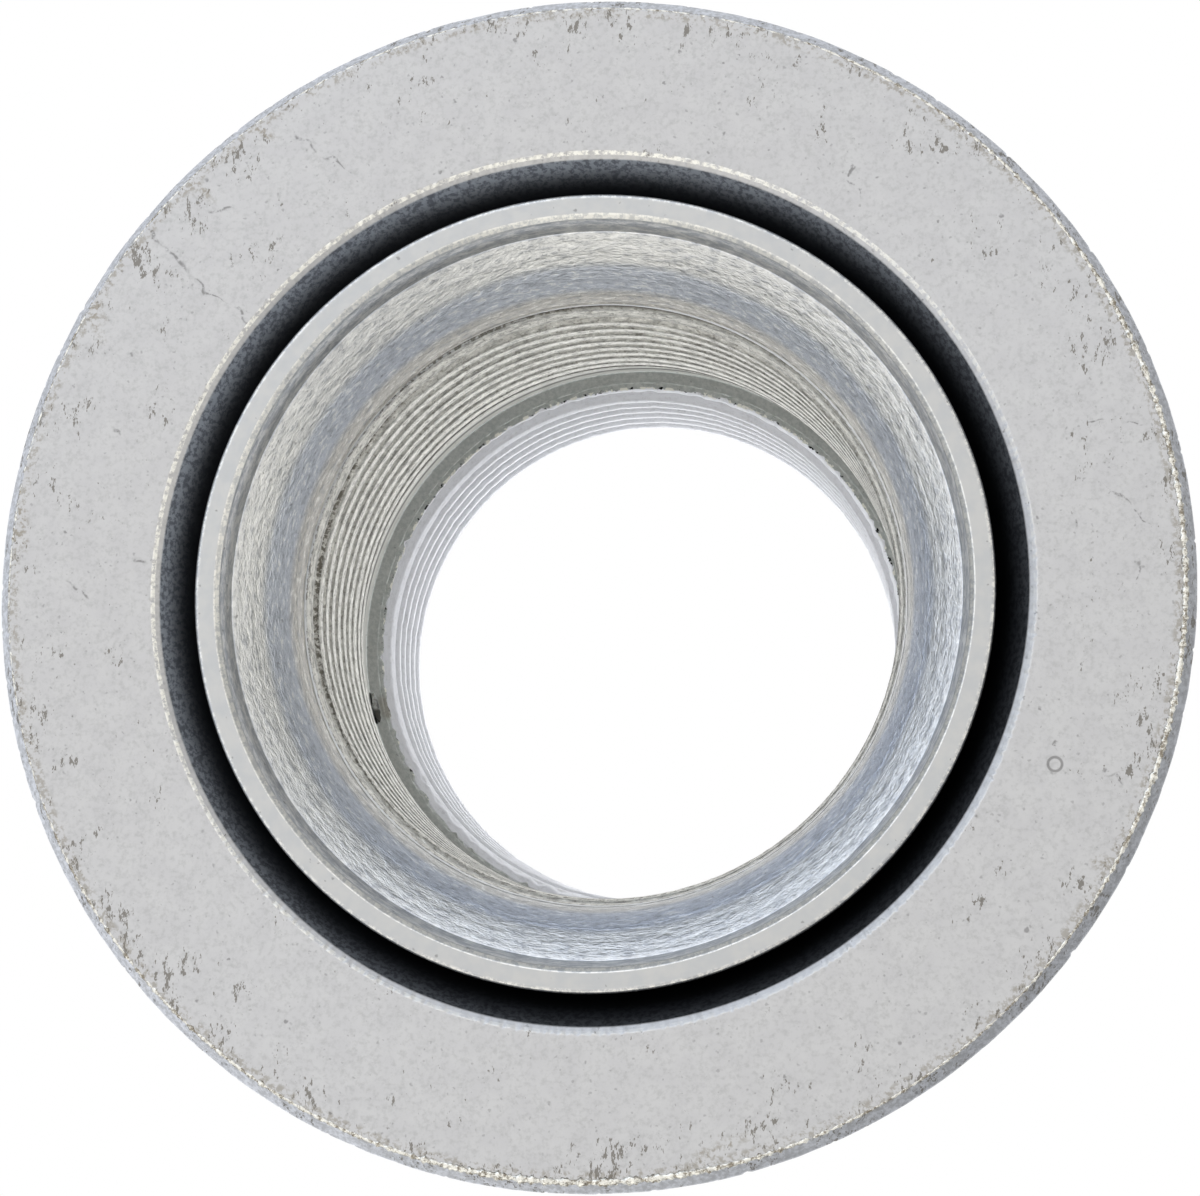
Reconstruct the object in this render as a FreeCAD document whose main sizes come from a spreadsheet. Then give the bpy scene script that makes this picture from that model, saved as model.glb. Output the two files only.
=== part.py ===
import FreeCAD, Part
import math
import os
import re
import Sketcher

from FreeCAD import Vector

# Spindle nut with a captive washer.
# The nut stands on its hexagon end on the XY plane, its thread axis is Z, and the
# washer's seat face is the highest face. Everything is in millimetres.
# Two turned pieces: the nut, whose swaged skirt reaches up through the washer and
# keeps it on, and the thick washer, which turns freely round the skirt's neck.

# Driving dimensions: name, value, what it measures. Radii grow outwards from the
# thread and heights grow upwards from the hexagon end, so each piece follows the
# one that it fits.
SIZES = [
    # Thread and hexagon
    ("thread_dia", 32.0, "nominal diameter of the M32 x 1.5 thread, the wall between its ridges"),
    ("thread_pitch", 1.5, "axial distance from one turn to the next"),
    ("hex_wall", 7.0, "thread wall to a flat, for a 46 mm spanner"),
    ("hex_height", 30.7, "hexagon end to the shoulder that the washer rests on"),
    ("hex_face_margin", 1.2, "flat of the hexagon to the round edge of its end face"),
    ("hex_cone_angle", 30.0, "slope of the corner chamfers, from the end face"),
    ("exit_chamfer", 0.7, "45 degree countersink at the hexagon end"),
    # Mouth that the spindle enters by, from the thread outwards
    ("bell_rise", 2.7, "how far the bell opens from the thread wall to the crease"),
    ("bell_radius", 5.0, "rounding of the bell"),
    ("lead_in_rise", 0.35, "how far the lead-in opens from the crease to the mouth's chamfer"),
    ("lead_in_depth", 1.47, "crease below the lip's end"),
    ("mouth_chamfer", 0.25, "45 degree chamfer at the mouth's edge"),
    # Skirt that holds the washer
    ("lip_wall", 1.3, "mouth to the lip's outer wall"),
    ("lip_overhang", 0.7, "how far the swaged lip stands out from the neck"),
    ("lip_length", 1.3, "straight outer wall of the lip"),
    ("lip_drop", 1.03, "lip end below the seat face, so that the lip never touches the hub"),
    ("lip_edge", 0.22, "rounding of the lip's outer edge"),
    # Relief groove between the two threaded stretches
    ("upper_thread", 14.06, "threaded wall between the bell and the groove"),
    ("relief_turns", 2.97, "width of the groove in thread pitches"),
    ("relief_depth", 0.6, "groove floor outside the thread wall"),
    # Captive washer
    ("washer_thick", 5.5, "seat face to back face"),
    ("washer_play", 0.3, "gap between the washer's back and the nut's shoulder"),
    ("throat_gap", 0.3, "gap between the washer's throat and the neck, less than the overhang"),
    ("throat_land", 1.5, "straight part of the washer's hole, at its back"),
    ("taper_rise", 2.1, "how far the hole opens from the throat to the seat face"),
    ("hole_edge", 0.25, "broken edge where the hole meets the seat face"),
    ("seat_width", 8.2, "width of the seat, from the hole to the rim"),
    ("rim_chamfer", 0.65, "chamfer of the washer's two rims"),
    ("rim_offset_x", -0.23, "rim's centre beside the hole's centre"),
    ("rim_offset_y", 0.30, "rim's centre beside the hole's centre"),
]

# Radii that follow from them
WALL_R = "thread_dia / 2"
FLAT_R = f"({WALL_R} + hex_wall)"
CORNER_R = f"{FLAT_R} * 2 / sqrt(3)"
CREASE_R = f"({WALL_R} + bell_rise)"
MOUTH_R = f"({CREASE_R} + lead_in_rise)"
LIP_R = f"({MOUTH_R} + lip_wall)"
NECK_R = f"({LIP_R} - lip_overhang)"
THROAT_R = f"({NECK_R} + throat_gap)"
HOLE_R = f"({THROAT_R} + taper_rise)"
RIM_R = f"({HOLE_R} + seat_width)"
# Heights that follow from them
WASHER_BACK = "(hex_height + washer_play)"
SEAT = f"({WASHER_BACK} + washer_thick)"
LIP_END = f"({SEAT} - lip_drop)"

doc = FreeCAD.newDocument("spindle_nut")
sheet = doc.addObject("Spreadsheet::Sheet", "sizes")


def fill_sheet():
    """Writes each size as a number with its alias and its meaning beside it."""
    for row, (alias, value, meaning) in enumerate(SIZES, start=1):
        sheet.set(f"A{row}", alias)
        sheet.set(f"B{row}", str(value))
        sheet.setAlias(f"B{row}", alias)
        sheet.set(f"C{row}", meaning)
    doc.recompute()


def size(expression):
    """Turns the aliases of an expression into references to the sheet."""
    aliases = {alias for alias, _, _ in SIZES}
    return re.sub("[a-z_]+", lambda w: f"sizes.{w[0]}" if w[0] in aliases else w[0], expression)


def new_body(label):
    """Makes a body whose label names its file."""
    body = doc.addObject("PartDesign::Body", label)
    body.Label = label
    body.Placement = FreeCAD.Placement(Vector(0, 0, 0), FreeCAD.Rotation())
    return body


def new_sketch(body, role, name):
    """Attaches an empty sketch to one of the body's own origin planes."""
    plane = next(f for f in body.Origin.OriginFeatures if f.Role == role)
    sketch = body.newObject("Sketcher::SketchObject", name)
    sketch.AttachmentSupport = [(plane, "")]
    sketch.MapMode = "FlatFace"
    return sketch


def tie(sketch, kind, geometry, end, expression):
    """Measures a point's distance from the origin by an expression of the sheet."""
    now = value_of(expression)
    index = sketch.addConstraint(Sketcher.Constraint(kind, -1, 1, geometry, end, now))
    sketch.setExpression(f"Constraints[{index}]", size(expression))


def place_point(sketch, geometry, end, x, y):
    """Places one end of a line, or the centre of an arc, where a zero lies on an axis."""
    for kind, expression, axis in (("DistanceX", x, -2), ("DistanceY", y, -1)):
        if expression == "0":
            sketch.addConstraint(Sketcher.Constraint("PointOnObject", geometry, end, axis))
        else:
            tie(sketch, kind, geometry, end, expression)


def draw_circle(sketch, radius, guide=False):
    """Draws a circle round the sketch's origin with its radius tied to an expression."""
    now = value_of(radius)
    circle = sketch.addGeometry(Part.Circle(Vector(0, 0, 0), Vector(0, 0, 1), now), guide)
    sketch.addConstraint(Sketcher.Constraint("Coincident", circle, 3, -1, 1))
    index = sketch.addConstraint(Sketcher.Constraint("Radius", circle, now))
    sketch.setExpression(f"Constraints[{index}]", size(radius))
    return circle


def value_of(expression):
    """Evaluates an expression of aliases with the sheet's present numbers."""
    number = sheet.evalExpression(expression)
    return float(getattr(number, "Value", number))


def draw_section(sketch, corners, arcs=None):
    """Draws a closed outline through corners given as (radius, height) expressions.

    arcs maps the index of a corner to the (radius, height) of the centre of the arc
    that leads from it to the next corner, turning anticlockwise.
    """
    arcs = arcs or {}
    points = [Vector(value_of(r), value_of(z), 0) for r, z in corners]
    count = len(points)
    for i in range(count):
        start, stop = points[i], points[(i + 1) % count]
        if i not in arcs:
            sketch.addGeometry(Part.LineSegment(start, stop), False)
            continue
        centre = Vector(value_of(arcs[i][0]), value_of(arcs[i][1]), 0)
        first = math.atan2(start.y - centre.y, start.x - centre.x)
        last = math.atan2(stop.y - centre.y, stop.x - centre.x)
        if last < first:
            last += 2 * math.pi
        circle = Part.Circle(centre, Vector(0, 0, 1), start.distanceToPoint(centre))
        sketch.addGeometry(Part.ArcOfCircle(circle, first, last), False)
    for i in range(count):
        sketch.addConstraint(Sketcher.Constraint("Coincident", i, 2, (i + 1) % count, 1))
    for i, (r, z) in enumerate(corners):
        if i - 1 in arcs:
            # The arc's radius already fixes how far out its end is.
            tie(sketch, "DistanceY", i, 1, z)
        else:
            place_point(sketch, i, 1, r, z)
    for i, (r, z) in arcs.items():
        place_point(sketch, i, 3, r, z)


def revolve(body, kind, sketch, name):
    """Turns a section once round the body's Z axis, as a Revolution or a Groove."""
    feature = body.newObject(f"PartDesign::{kind}", name)
    feature.Profile = sketch
    feature.ReferenceAxis = (sketch, ["V_Axis"])
    feature.Angle = 360.0
    doc.recompute()
    return feature


def circles_at(shape, height, radius):
    """Names the round edges of a shape at one height and radius."""
    names = []
    for number, edge in enumerate(shape.Edges, start=1):
        curve = edge.Curve
        if not isinstance(curve, Part.Circle):
            continue
        if abs(curve.Radius - radius) < 1e-4 and abs(edge.CenterOfMass.z - height) < 1e-4:
            names.append(f"Edge{number}")
    return names


def dress(body, kind, base, edges, size_name, name):
    """Rounds or chamfers edges of a feature by a size of the sheet."""
    feature = body.newObject(f"PartDesign::{kind}", name)
    feature.Base = (base, edges)
    value = "Radius" if kind == "Fillet" else "Size"
    setattr(feature, value, value_of(size_name))
    feature.setExpression(value, size(size_name))
    doc.recompute()
    return feature


def make_nut_body():
    """The nut: turned in one piece, with six flats cut from its round blank."""
    body = new_body("nut_body")

    face_r = f"{FLAT_R} - hex_face_margin"
    floor_r = f"{WALL_R} + relief_depth"
    exit_r = f"{WALL_R} + exit_chamfer"
    # The corner chamfers are as high as their slope makes them
    chamfer = f"({CORNER_R} - ({face_r})) * tan(hex_cone_angle)"
    lip_foot = f"{LIP_END} - lip_length"
    crease = f"{LIP_END} - lead_in_depth"
    # The bell starts at the crease and ends tangent to the thread wall
    bell_foot = f"{crease} - sqrt(bell_rise * (2 * bell_radius - bell_rise))"
    relief_top = f"{bell_foot} - upper_thread"
    relief_foot = f"{relief_top} - relief_turns * thread_pitch"

    section = new_sketch(body, "XZ_Plane", "turned_section")
    corners = [
        (exit_r, "0"),
        (face_r, "0"),
        (CORNER_R, chamfer),
        (CORNER_R, f"hex_height - {chamfer}"),
        (face_r, "hex_height"),
        (NECK_R, "hex_height"),
        (NECK_R, f"{lip_foot} - lip_overhang"),
        (LIP_R, lip_foot),
        (LIP_R, LIP_END),
        (f"{MOUTH_R} + mouth_chamfer", LIP_END),
        (MOUTH_R, f"{LIP_END} - mouth_chamfer"),
        (CREASE_R, crease),
        (WALL_R, bell_foot),
        (WALL_R, relief_top),
        (floor_r, f"{relief_top} - relief_depth"),
        (floor_r, f"{relief_foot} + relief_depth"),
        (WALL_R, relief_foot),
        (WALL_R, "exit_chamfer"),
    ]
    bell = {11: (f"{WALL_R} + bell_radius", bell_foot)}
    draw_section(section, corners, bell)
    blank = revolve(body, "Revolution", section, "turned_blank")

    # Six flats: what lies between the hexagon and a wider circle is cut away
    flats = new_sketch(body, "XY_Plane", "spanner_flats")
    guide = draw_circle(flats, CORNER_R, guide=True)
    points = []
    for i in range(6):
        angle = math.radians(60 * i)
        points.append(Vector(math.cos(angle), math.sin(angle), 0) * value_of(CORNER_R))
    sides = [flats.addGeometry(Part.LineSegment(points[i - 1], points[i]), False) for i in range(6)]
    for i in range(6):
        flats.addConstraint(Sketcher.Constraint("Coincident", sides[i - 1], 2, sides[i], 1))
        flats.addConstraint(Sketcher.Constraint("PointOnObject", sides[i], 1, guide))
    for i in range(5):
        flats.addConstraint(Sketcher.Constraint("Equal", sides[i], sides[i + 1]))
    flats.addConstraint(Sketcher.Constraint("PointOnObject", sides[0], 2, -1))
    draw_circle(flats, f"2 * {FLAT_R}")
    cut = body.newObject("PartDesign::Pocket", "flats_cut")
    cut.Profile = flats
    cut.Reversed = True
    cut.Length = value_of("hex_height")
    cut.setExpression("Length", size("hex_height"))
    doc.recompute()
    if cut.Shape.Volume > blank.Shape.Volume - 1.0:
        raise RuntimeError("the spanner flats cut nothing")

    # Fine rounding of the lip's outer edge
    edges = circles_at(cut.Shape, value_of(LIP_END), value_of(LIP_R))
    body.Tip = dress(body, "Fillet", cut, edges, "lip_edge", "lip_rounding")
    return body


def make_captive_washer():
    """The washer: a chamfered disc whose tapered hole clears the lip at the top."""
    body = new_body("captive_washer")
    rim = new_sketch(body, "XY_Plane", "rim_circle")
    for side, expression in (("x", "rim_offset_x"), ("y", "rim_offset_y"), ("z", WASHER_BACK)):
        rim.setExpression(f"AttachmentOffset.Base.{side}", size(expression))
    draw_circle(rim, RIM_R)
    disc = body.newObject("PartDesign::Pad", "disc")
    disc.Profile = rim
    disc.Length = value_of("washer_thick")
    disc.setExpression("Length", size("washer_thick"))
    doc.recompute()

    edges = circles_at(disc.Shape, value_of(SEAT), value_of(RIM_R))
    edges += circles_at(disc.Shape, value_of(WASHER_BACK), value_of(RIM_R))
    chamfered = dress(body, "Chamfer", disc, edges, "rim_chamfer", "rim_chamfers")

    # Hole: tapered from the seat face to the throat, which hides under the lip
    hole = new_sketch(body, "XZ_Plane", "hole_section")
    draw_section(hole, [
        ("0", WASHER_BACK),
        (THROAT_R, WASHER_BACK),
        (THROAT_R, f"{WASHER_BACK} + throat_land"),
        (HOLE_R, SEAT),
        ("0", SEAT),
    ])
    bored = revolve(body, "Groove", hole, "tapered_hole")
    if bored.Shape.Volume > chamfered.Shape.Volume - 1.0:
        raise RuntimeError("the washer's hole cut nothing")
    edges = circles_at(bored.Shape, value_of(SEAT), value_of(HOLE_R))
    body.Tip = dress(body, "Chamfer", bored, edges, "hole_edge", "hole_edge_break")
    return body


fill_sheet()
bodies = [make_nut_body(), make_captive_washer()]
doc.recompute()

for item in doc.Objects:
    if "Invalid" in item.State or "Error" in item.State:
        raise RuntimeError(f"{item.Label} failed: {item.State}")
os.makedirs("parts", exist_ok=True)
for body in bodies:
    if body.Shape.isNull() or not body.Shape.isValid():
        raise RuntimeError(f"{body.Label} has no valid shape")
    body.Shape.exportStep(f"parts/{body.Label}.step")
    box = body.Shape.BoundBox
    print(f"{body.Label}: {box.XLength:.2f} x {box.YLength:.2f} x {box.ZLength:.2f} mm,",
          f"z {box.ZMin:.2f} to {box.ZMax:.2f}, {body.Shape.Volume / 1000:.2f} cm3,",
          f"{len(body.Shape.Solids)} solid")
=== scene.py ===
# %% [markdown]
# # A spindle nut with its captive washer
# The nut is turned from steel and plated with zinc. Its skirt reaches up through a thick
# washer, and the swaged lip at the skirt's end keeps the washer on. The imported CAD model
# gives every size and place, so the first step loads it as a fixed frame.

# %% The frame
import math

import bpy
import numpy as np
from mathutils import Matrix, Vector


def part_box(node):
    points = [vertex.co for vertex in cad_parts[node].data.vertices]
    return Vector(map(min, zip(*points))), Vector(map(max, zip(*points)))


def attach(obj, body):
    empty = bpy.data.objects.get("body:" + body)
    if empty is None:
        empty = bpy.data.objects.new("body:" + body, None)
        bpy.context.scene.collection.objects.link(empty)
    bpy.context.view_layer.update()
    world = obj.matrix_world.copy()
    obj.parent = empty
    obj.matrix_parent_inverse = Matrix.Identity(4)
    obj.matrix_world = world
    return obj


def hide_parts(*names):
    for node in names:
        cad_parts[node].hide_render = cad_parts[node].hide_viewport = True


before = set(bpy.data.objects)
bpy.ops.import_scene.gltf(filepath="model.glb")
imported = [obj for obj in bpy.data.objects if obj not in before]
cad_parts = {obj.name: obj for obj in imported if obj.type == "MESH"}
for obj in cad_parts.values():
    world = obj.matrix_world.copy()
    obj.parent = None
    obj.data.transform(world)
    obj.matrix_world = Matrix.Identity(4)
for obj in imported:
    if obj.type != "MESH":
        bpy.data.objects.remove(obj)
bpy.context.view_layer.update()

print("CAD nodes:", sorted(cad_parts))

# %% [markdown]
# ## Sizes
# Arrays are worked out in millimetres, because that is how a machinist thinks of this
# part, and are turned into metres once, when a mesh is made. The radii and heights below
# are the CAD's own. Z is the thread's axis, and the hexagon end stands on the floor.

# %% The CAD's radii and heights
MM = 0.001
WALL_R = 16.0          # thread wall between the ridges
CREST_R = 15.188       # thread crests
PITCH = 1.5
FLAT_R = 23.0          # axis to a flat of the hexagon
FACE_R = 21.8          # round edge of the hexagon's end faces
HEX_TOP = 30.7
HEX_SLOPE = math.tan(math.radians(30.0))
NECK_R, LIP_R, MOUTH_R, CREASE_R = 19.65, 20.35, 19.05, 18.7
MOUTH_CHAMFER = 0.25
LIP_END, CREASE_Z, BELL_FOOT = 35.47, 34.0, 29.56
LIP_FOOT = LIP_END - 1.3
BELL_R = 5.0
GROOVE_TOP, GROOVE_FOOT, GROOVE_R = 15.5, 11.045, 16.6
EXIT_R, EXIT_Z = 16.7, 0.7
WASHER_BACK, SEAT = 31.0, 36.5
THROAT_R, THROAT_TOP, HOLE_R, HOLE_EDGE = 19.95, 32.5, 22.05, 0.25
RIM_R, RIM_X, RIM_Y, RIM_CHAMFER = 30.25, -0.23, 0.30, 0.65

low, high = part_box("captive_washer")
print("washer from", round(low.z / MM, 2), "to", round(high.z / MM, 2), "mm")

# %% [markdown]
# ## Camera
# The photograph looks almost straight down the bore, leaning eleven degrees towards the
# lower right, from about twelve centimetres. Near and far edges of the bore differ in
# size by a third, so the distance matters as much as the angle. A camera can be aimed
# with a Track To constraint, but here its matrix is built from one tilt, because that is
# what was fitted to the edges of the rim, the hole, the skirt and the thread.

# %% Camera
PHOTO_WIDTH = 1200
FOCAL_PIXELS = 2480.0
TILT = math.radians(10.81)
LEAN = math.radians(48.46)
FACE_IN_CAMERA = Vector((-0.778, 0.813, -123.79)) * MM

turn = Matrix.Rotation(TILT, 4, Vector((math.sin(LEAN), math.cos(LEAN), 0.0)))
eye = Vector((0.0, 0.0, SEAT * MM)) - turn.to_3x3() @ FACE_IN_CAMERA
camera = bpy.data.objects.new("camera", bpy.data.cameras.new("camera"))
camera.data.sensor_width = 36.0
camera.data.lens = 36.0 * FOCAL_PIXELS / PHOTO_WIDTH
camera.data.clip_start = 0.005
camera.matrix_world = Matrix.Translation(eye) @ turn
bpy.context.scene.collection.objects.link(camera)
bpy.context.scene.camera = camera
print("camera at", [round(x / MM, 1) for x in eye], "mm, lens", camera.data.lens, "mm")

# %% [markdown]
# ## Floor and light
# Bright metal shows what stands round it. The flat seat mirrors the ceiling, the rim's
# chamfer mirrors the horizon and the bell mirrors the far side of the studio, so the
# light is a wide overhead panel and a ring of eight soft boxes, warm at the bottom and
# the right of the picture and cool at its upper left, in a dim room. An HDRI would give
# the same, but each box can be tuned by itself. The floor is a white table that also
# glows, most strongly under the nut, so that it lights the bore from below as a light table
# would. The camera sees it as even white, as in the photograph: rays from the camera that
# end there save over a quarter of the render.

# %% World
def node_tree(owner):
    """Turns nodes on and returns the tree, its nodes and its links, emptied."""
    owner.use_nodes = True
    owner.node_tree.nodes.clear()
    return owner.node_tree.nodes, owner.node_tree.links


ROOM = (0.30, 0.31, 0.32, 1.0)
BACKDROP = (0.86, 0.87, 0.88, 1.0)
world = bpy.data.worlds.new("studio")
bpy.context.scene.world = world
nodes, links = node_tree(world)
out = nodes.new("ShaderNodeOutputWorld")
mix = nodes.new("ShaderNodeMixShader")
room = nodes.new("ShaderNodeBackground")
room.inputs["Color"].default_value = ROOM
seen = nodes.new("ShaderNodeBackground")
seen.inputs["Color"].default_value = BACKDROP
ray = nodes.new("ShaderNodeLightPath")
links.new(ray.outputs["Is Camera Ray"], mix.inputs[0])
links.new(room.outputs[0], mix.inputs[1])
links.new(seen.outputs[0], mix.inputs[2])
links.new(mix.outputs[0], out.inputs["Surface"])
bpy.context.scene.view_settings.view_transform = "Standard"
print("room", ROOM[:3])

# %% Light panels
def panel(name, azimuth, elevation, distance, width, height, radiance, colour):
    """A flat light that faces the nut from a direction in degrees; 0 is the picture's right,
    90 its top. Its power is radiance times area times pi, so size and brightness are apart."""
    a, e = math.radians(azimuth), math.radians(elevation)
    way = Vector((math.cos(a) * math.cos(e), math.sin(a) * math.cos(e), math.sin(e)))
    data = bpy.data.lights.new(name, "AREA")
    data.shape = "RECTANGLE"
    data.size, data.size_y = width, height
    data.energy = radiance * width * height * math.pi
    data.color = colour
    lamp = bpy.data.objects.new(name, data)
    lamp.location = Vector((0.0, 0.0, 0.03)) + way * distance
    lamp.rotation_euler = way.to_track_quat("Z", "Y").to_euler()
    lamp.visible_camera = False
    bpy.context.scene.collection.objects.link(lamp)
    return lamp


WARM, PLAIN, COOL = (1.0, 0.985, 0.94), (0.98, 0.98, 1.0), (0.76, 0.85, 1.0)
RING = [
    (0, 1.08, WARM), (57, 0.60, PLAIN), (98, 1.08, COOL), (134, 1.15, COOL),
    (171, 0.76, COOL), (213, 1.02, PLAIN), (262, 1.40, WARM), (316, 0.58, PLAIN),
]
panel("overhead", 132, 80, 0.60, 0.80, 0.80, 0.875, (1.0, 0.985, 0.975))
for azimuth, radiance, tint in RING:
    panel(f"box_{azimuth}", azimuth, 33, 0.70, 0.46, 0.49, radiance, tint)

# %% Floor
FLOOR_HALF = 3.0
# The floor's glow by distance in metres from the middle: brightest under the nut, where it lights the bore
# from below
GLOW_STEPS = [(0.0, 0.95), (0.02, 0.90), (0.06, 0.45), (0.12, 0.35), (0.6, 0.10)]
floor_mesh = bpy.data.meshes.new("floor")
corners = [(-1, -1, 0), (1, -1, 0), (1, 1, 0), (-1, 1, 0)]
floor_mesh.from_pydata([(x * FLOOR_HALF, y * FLOOR_HALF, 0) for x, y, _ in corners], [], [(0, 1, 2, 3)])
floor = bpy.data.objects.new("floor", floor_mesh)
bpy.context.scene.collection.objects.link(floor)
light_table = bpy.data.materials.new("white_table")
nodes, links = node_tree(light_table)
out = nodes.new("ShaderNodeOutputMaterial")
shader = nodes.new("ShaderNodeBsdfPrincipled")
shader.inputs["Base Color"].default_value = (0.80, 0.80, 0.80, 1.0)
shader.inputs["Roughness"].default_value = 0.9
shader.inputs["Specular IOR Level"].default_value = 0.1
shader.inputs["Emission Color"].default_value = (0.97, 0.985, 1.0, 1.0)
ray = nodes.new("ShaderNodeLightPath")
spot = nodes.new("ShaderNodeTexCoord")
away = nodes.new("ShaderNodeVectorMath")
away.operation = "LENGTH"
links.new(spot.outputs["Object"], away.inputs[0])
curve = nodes.new("ShaderNodeFloatCurve")
points = curve.mapping.curves[0].points
for extra in GLOW_STEPS[2:]:
    points.new(*extra)
for point, (distance, radiance) in zip(points, GLOW_STEPS):
    point.location = (distance, radiance)
    point.handle_type = "VECTOR"
curve.mapping.update()
links.new(away.outputs["Value"], curve.inputs["Value"])
links.new(curve.outputs[0], shader.inputs["Emission Strength"])
white = nodes.new("ShaderNodeEmission")
either = nodes.new("ShaderNodeMixShader")
links.new(ray.outputs["Is Camera Ray"], either.inputs[0])
links.new(shader.outputs[0], either.inputs[1])
links.new(white.outputs[0], either.inputs[2])
links.new(either.outputs[0], out.inputs["Surface"])
floor_mesh.materials.append(light_table)
print("floor", 2 * FLOOR_HALF, "m square")

# %% [markdown]
# ## Surfaces from arrays
# Every turned piece is a section carried round the axis, so one helper makes them all: it
# takes a grid of points, rows along the section and columns round the axis, and joins
# each point to its neighbours. Spin or Screw would do the same, but a grid of numbers can
# also be dented, notched and made hexagonal before it becomes a mesh.

# %% A mesh from a grid of points
def grid_piece(name, points, body, node_slot, closed_path=True, **layers):
    """Joins points[row, column] in mm into faces. Rows close on themselves, as a section
    does; columns close too, or end in flat caps. Each layer is one number a point."""
    rows, columns, _ = points.shape
    index = np.arange(rows * columns).reshape(rows, columns)
    below = np.roll(index, -1, axis=0)
    if closed_path:
        right, below_right = np.roll(index, -1, axis=1), np.roll(below, -1, axis=1)
        faces = np.stack([index, right, below_right, below], -1).reshape(-1, 4)
        caps = []
    else:
        faces = np.stack([index[:, :-1], index[:, 1:], below[:, 1:], below[:, :-1]], -1).reshape(-1, 4)
        caps = [index[::-1, 0].tolist(), index[:, -1].tolist()]
    mesh = bpy.data.meshes.new(name)
    mesh.from_pydata((points.reshape(-1, 3) * MM).tolist(), [], faces.tolist() + caps)
    mesh.shade_smooth()
    for layer, values in layers.items():
        attribute = mesh.attributes.new(layer, "FLOAT", "POINT")
        flat = np.broadcast_to(values, (rows, columns)).astype(np.float32).ravel()
        attribute.data.foreach_set("value", flat)
    mesh.validate()
    piece = bpy.data.objects.new(name, mesh)
    bpy.context.scene.collection.objects.link(piece)
    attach(piece, body)
    print(name, "has", len(mesh.vertices), "points and", len(mesh.polygons), "faces")
    return piece


# %% [markdown]
# A turned edge is never perfectly sharp: the tool and the plating leave a small round.
# The Bevel modifier could cut it, but the rows are known here, so each corner of the
# section is swapped for a few rows on a parabola between points a short way down its two
# sides. One more row just beyond each keeps the flat faces flat under smooth shading.

# %% Rounded corners
ROUND_STEPS = 4
HOLD = 0.04


def rounded(corners, cuts):
    """Rows for a closed section whose corners[row, column] are rounded. Row i is cut back
    by cuts[i] mm along both sides and filled with the quadratic curve
    (1-t)^2 a + 2 t (1-t) p + t^2 b. The second result says how near each row is to an
    edge: 1 on a corner, 0 on the flat."""
    rows, edge = [], []
    count = len(corners)
    for i in range(count):
        here, before, after = corners[i], corners[i - 1], corners[(i + 1) % count]
        if cuts[i] == 0:
            rows.append(here)
            edge.append(0.0)
            continue
        back, on = before - here, after - here
        back_length = np.linalg.norm(back, axis=-1, keepdims=True)
        on_length = np.linalg.norm(on, axis=-1, keepdims=True)
        start = here + back / back_length * cuts[i]
        stop = here + on / on_length * cuts[i]
        rows.append(start + back / back_length * HOLD)
        edge.append(0.0)
        for t in np.linspace(0.0, 1.0, ROUND_STEPS + 1):
            rows.append((1 - t) ** 2 * start + 2 * t * (1 - t) * here + t ** 2 * stop)
            edge.append(1.0 - abs(2 * t - 1) * 0.5)
        rows.append(stop + on / on_length * HOLD)
        edge.append(0.0)
    return np.array(rows), np.array(edge)[:, None]


def turned(section, angle):
    """Carries (radius, height) pairs round the axis: x = r cos a, y = r sin a. A radius or
    a height may be one number or one for each angle."""
    rings = []
    for radius, height in section:
        r = np.broadcast_to(radius, angle.shape)
        z = np.broadcast_to(height, angle.shape)
        rings.append(np.stack([r * np.cos(angle), r * np.sin(angle), z], -1))
    return np.array(rings)


def unevenness(angle, along, seed, turns, spread, waves=24):
    """A smooth random surface of unit size: the sum of cos(m a + k s + p) over waves, with
    whole numbers m up to turns, so that it closes round the axis, and k about spread."""
    rng = np.random.default_rng(seed)
    m = rng.integers(turns // 6 + 1, turns + 1, waves)
    k = rng.normal(0.0, spread, waves)
    p = rng.uniform(0.0, 2 * math.pi, waves)
    total = np.zeros(np.broadcast(angle, along).shape)
    for i in range(waves):
        total += np.cos(m[i] * angle + k[i] * along + p[i])
    return total / math.sqrt(waves / 2)


print("corners get", ROUND_STEPS + 3, "rows each")

# %% [markdown]
# ## The washer
# A thick flat ring, chamfered at both rims, with a hole that widens towards the seat so
# that it clears the swaged lip. Its rim stands a third of a millimetre off the hole's
# centre. A revolved curve would make a true ring; the grid lets the rim be nicked.

# %% Washer
WASHER_COLUMNS = 1440
angle = np.arange(WASHER_COLUMNS) * 2 * math.pi / WASHER_COLUMNS


def about_rim(radius):
    """Distance from the hole's centre to a circle of that radius about the rim's centre:
    the root of |d u - c| = r along each direction u."""
    along = RIM_X * np.cos(angle) + RIM_Y * np.sin(angle)
    across = RIM_X * np.sin(angle) - RIM_Y * np.cos(angle)
    return along + np.sqrt(radius ** 2 - across ** 2)


wave = unevenness(angle, 0.0, 3, 60, 0.0)
nick = np.clip(unevenness(angle, 0.0, 5, 420, 0.0) - 1.2, 0.0, None)
rough = unevenness(angle, 0.0, 6, 500, 0.0, 40)
rim = about_rim(RIM_R) - 0.012 * np.abs(wave) - 0.05 * nick
face_edge = about_rim(RIM_R - RIM_CHAMFER) + 0.02 * wave
back_edge = about_rim(RIM_R - RIM_CHAMFER)
hole_edge = HOLE_R + HOLE_EDGE + 0.035 * rough
taper = (HOLE_R - THROAT_R) / (SEAT - THROAT_TOP)
washer_section = [
    (THROAT_R, WASHER_BACK),
    (back_edge, WASHER_BACK),
    (rim, WASHER_BACK + RIM_CHAMFER),
    (rim, SEAT - RIM_CHAMFER),
    (face_edge, SEAT),
    (hole_edge, SEAT),
    (HOLE_R - HOLE_EDGE * taper, SEAT - HOLE_EDGE),
    (THROAT_R, THROAT_TOP),
]
washer_cuts = [0.15, 0.1, 0.12, 0.1, 0.08, 0.06, 0.06, 0.3]
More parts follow.
